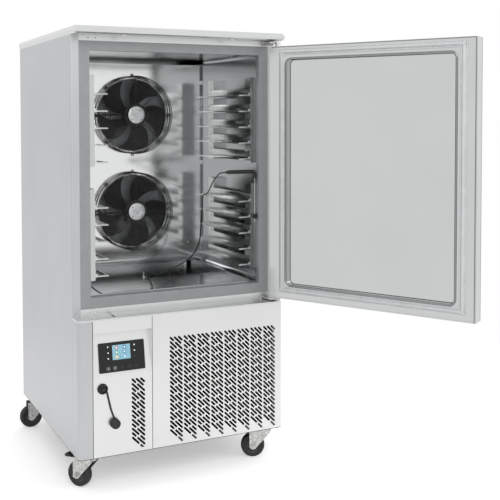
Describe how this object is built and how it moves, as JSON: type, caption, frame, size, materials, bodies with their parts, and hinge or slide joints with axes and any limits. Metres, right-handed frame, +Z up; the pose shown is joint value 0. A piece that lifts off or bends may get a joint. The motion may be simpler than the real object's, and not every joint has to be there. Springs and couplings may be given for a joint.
{
  "type": "blast chiller",
  "caption": "Reach-in blast chiller on castors: insulated steel cabinet with tray racks, two fans and a probe, hinged door standing open, condensing unit below.",
  "frame": {"origin": "on the floor, under the centre of the cabinet's own footprint, the open door left out", "axes": "+X to the cabinet's right as its front is faced, +Y to its back, +Z up out of the cover"},
  "size_m": [1.2038, 1.5347, 1.6],
  "materials": {
    "brushed_steel": "brushed",
    "satin_steel": "satin",
    "mirror_steel": "bright annealed",
    "foam": "foamed",
    "grey_frame": "moulded",
    "gasket": "soft extruded",
    "display_glass": "polished",
    "black_plastic": "moulded",
    "black_rubber": "matt",
    "mount_rubber": "matt",
    "wheel_rubber": "matt",
    "zinc": "zinc plated",
    "pedal": "moulded",
    "black_enamel": "enamelled",
    "motor_silver": "satin",
    "fan_plastic": "moulded",
    "copper": "drawn",
    "fins": "rolled",
    "waste_pipe": "extruded"
  },
  "bodies": {
    "cabinet": {"left_side_panel": "satin_steel", "right_side_panel": "satin_steel", "rear_panel": "satin_steel", "top_cover": "brushed_steel", "fasteners": "brushed_steel", "cabinet_bottom": "satin_steel", "cabinet_insulation": "foam", "cavity_liner": "mirror_steel", "breaker_frame": "grey_frame", "front_rails": "brushed_steel", "sill_profile": "brushed_steel", "corner_post": "satin_steel", "control_panel": "brushed_steel", "display_glass": "display_glass", "grille_panel": "brushed_steel", "data_socket": "black_plastic", "machine_base": "satin_steel", "rear_grille": "satin_steel", "compressor": "black_enamel", "compressor_mounts": "mount_rubber", "condenser_coil": "fins", "condenser_shroud": "black_plastic", "condenser_motor": "black_enamel", "refrigerant_pipes": "copper", "electrical_box": "satin_steel", "evaporator_coil": "fins", "fan_panel": "mirror_steel", "fan_guards": "black_enamel", "fan_motors": "motor_silver", "rack_uprights": "brushed_steel", "left_runners": "brushed_steel", "right_runners": "brushed_steel", "drain_pipe": "waste_pipe", "probe_clip": "black_plastic", "probe_handle": "black_plastic", "probe_needle": "brushed_steel", "probe_cable": "black_rubber", "cable_glands": "black_plastic", "hinge_brackets": "zinc", "castor_plates": "zinc"},
    "door": {"door_skin": "brushed_steel", "door_foam": "foam", "door_liner": "brushed_steel", "door_gasket": "gasket", "door_bushes": "black_plastic"},
    "upper_fan": {"upper_fan_rotor": "fan_plastic"},
    "lower_fan": {"lower_fan_rotor": "fan_plastic"},
    "condenser_fan": {"condenser_rotor": "satin_steel"},
    "drain_plug": {"drain_plug": "brushed_steel"},
    "socket_cap": {"socket_cap": "black_rubber"},
    "front_left_castor": {"front_left_fork": "zinc"},
    "front_left_roller": {"front_left_wheel": "wheel_rubber"},
    "front_right_castor": {"front_right_fork": "zinc"},
    "front_right_roller": {"front_right_wheel": "wheel_rubber"},
    "rear_left_castor": {"rear_left_fork": "zinc"},
    "rear_left_roller": {"rear_left_wheel": "wheel_rubber"},
    "rear_right_castor": {"rear_right_fork": "zinc"},
    "rear_right_roller": {"rear_right_wheel": "wheel_rubber"},
    "left_brake": {"left_brake_pedal": "pedal"},
    "right_brake": {"right_brake_pedal": "pedal"}
  },
  "joints": [
    {"name": "door_hinge", "type": "hinge", "parent": "cabinet", "child": "door", "pos_m": [0.381, -0.407, 0.62], "axis": [0, 0, 1], "range_deg": [-120, 50]},
    {"name": "upper_fan_spin", "type": "hinge", "parent": "cabinet", "child": "upper_fan", "pos_m": [0.02, 0.204, 1.3], "axis": [0, 1, 0], "continuous": true},
    {"name": "lower_fan_spin", "type": "hinge", "parent": "cabinet", "child": "lower_fan", "pos_m": [0.02, 0.204, 0.9], "axis": [0, 1, 0], "continuous": true},
    {"name": "condenser_fan_spin", "type": "hinge", "parent": "cabinet", "child": "condenser_fan", "pos_m": [0.1595, -0.329, 0.322], "axis": [0, 1, 0], "continuous": true},
    {"name": "front_left_swivel", "type": "hinge", "parent": "cabinet", "child": "front_left_castor", "pos_m": [-0.342, -0.362, 0.1], "axis": [0, 0, 1], "continuous": true},
    {"name": "front_left_roll", "type": "hinge", "parent": "front_left_castor", "child": "front_left_roller", "pos_m": [-0.36494, -0.32923, 0.045], "axis": [-0.8192, -0.5736, 0], "continuous": true},
    {"name": "front_right_swivel", "type": "hinge", "parent": "cabinet", "child": "front_right_castor", "pos_m": [0.342, -0.362, 0.1], "axis": [0, 0, 1], "continuous": true},
    {"name": "front_right_roll", "type": "hinge", "parent": "front_right_castor", "child": "front_right_roller", "pos_m": [0.30466, -0.34767, 0.045], "axis": [-0.3584, -0.9336, 0], "continuous": true},
    {"name": "rear_left_swivel", "type": "hinge", "parent": "cabinet", "child": "rear_left_castor", "pos_m": [-0.342, 0.345, 0.1], "axis": [0, 0, 1], "continuous": true},
    {"name": "rear_left_roll", "type": "hinge", "parent": "rear_left_castor", "child": "rear_left_roller", "pos_m": [-0.382, 0.345, 0.045], "axis": [0, -1, 0], "continuous": true},
    {"name": "rear_right_swivel", "type": "hinge", "parent": "cabinet", "child": "rear_right_castor", "pos_m": [0.342, 0.345, 0.1], "axis": [0, 0, 1], "continuous": true},
    {"name": "rear_right_roll", "type": "hinge", "parent": "rear_right_castor", "child": "rear_right_roller", "pos_m": [0.30736, 0.365, 0.045], "axis": [-0.5, -0.866, 0], "continuous": true},
    {"name": "left_brake_press", "type": "hinge", "parent": "front_left_castor", "child": "left_brake", "pos_m": [-0.36953, -0.32268, 0.0986], "axis": [-0.8192, -0.5736, 0], "range_deg": [0, 10]},
    {"name": "right_brake_press", "type": "hinge", "parent": "front_right_castor", "child": "right_brake", "pos_m": [0.29719, -0.3448, 0.0986], "axis": [-0.3584, -0.9336, 0], "range_deg": [0, 10]},
    {"name": "plug_lift", "type": "slide", "parent": "cabinet", "child": "drain_plug", "axis": [0, 0, 1], "range_m": [0, 0.03]},
    {"name": "cap_swing", "type": "hinge", "parent": "cabinet", "child": "socket_cap", "pos_m": [-0.309, -0.422, 0.359], "axis": [0, 1, 0], "range_deg": [-60, 60]}
  ]
}
